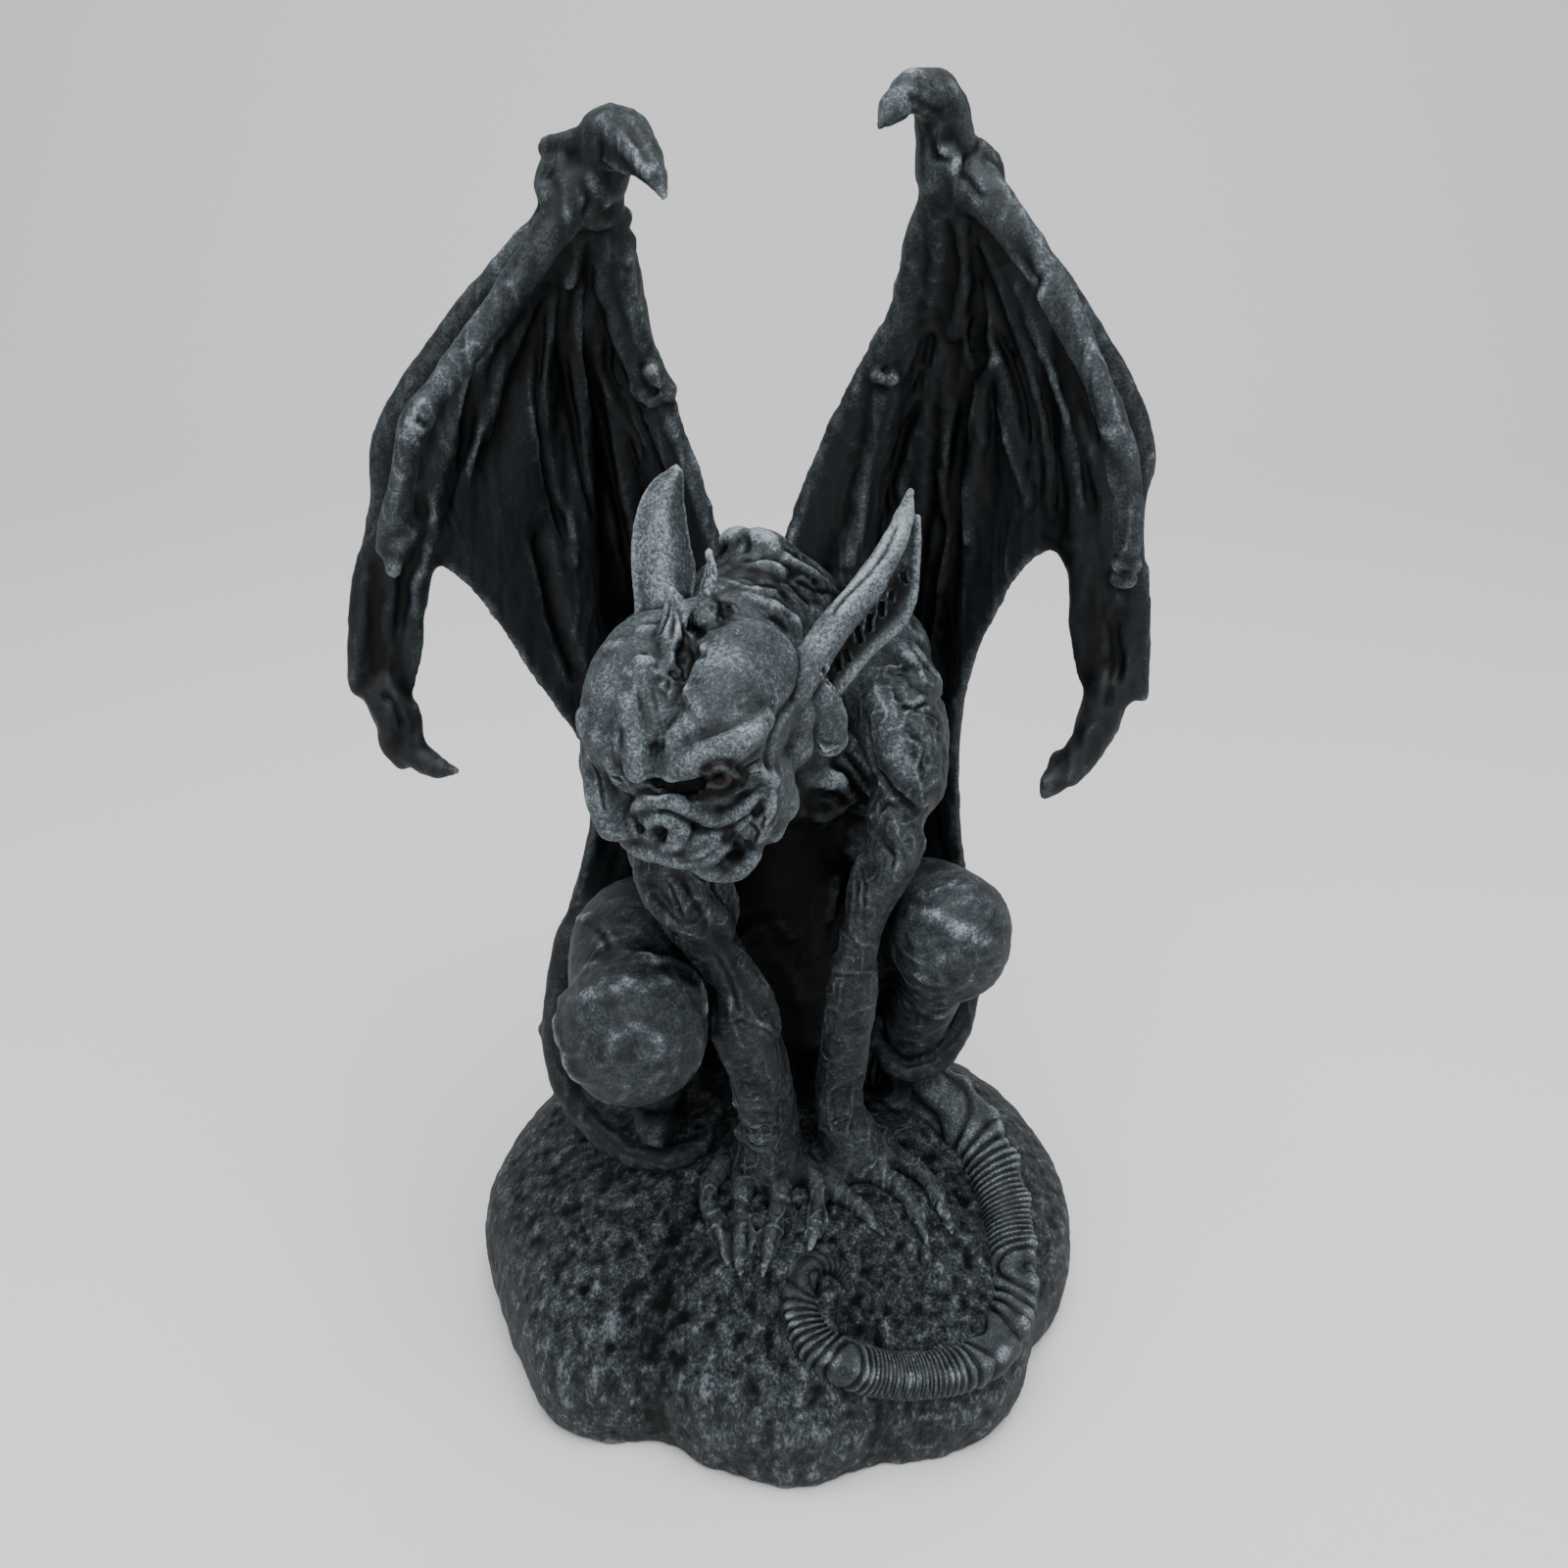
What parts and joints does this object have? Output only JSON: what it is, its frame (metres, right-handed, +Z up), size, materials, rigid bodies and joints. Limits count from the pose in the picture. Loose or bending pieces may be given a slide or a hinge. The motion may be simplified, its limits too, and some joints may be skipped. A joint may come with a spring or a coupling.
{
  "type": "gargoyle statue",
  "caption": "Winged gargoyle crouching on a boulder, wings raised and tail curled round the rock, cast in one piece with its base as a small display figure.",
  "frame": {"origin": "centre of the boulder's flat underside, on the surface that the statue stands on", "axes": "+Z up, -Y out of the statue's front, +X to the viewer's right when facing the front"},
  "size_m": [0.1581, 0.1291, 0.2841],
  "materials": {
    "painted_resin": "matt charcoal paint with a blue-grey dry brush on the raised carving"
  },
  "bodies": {
    "root": {"gargoyle_statue": "painted_resin"}
  },
  "joints": []
}
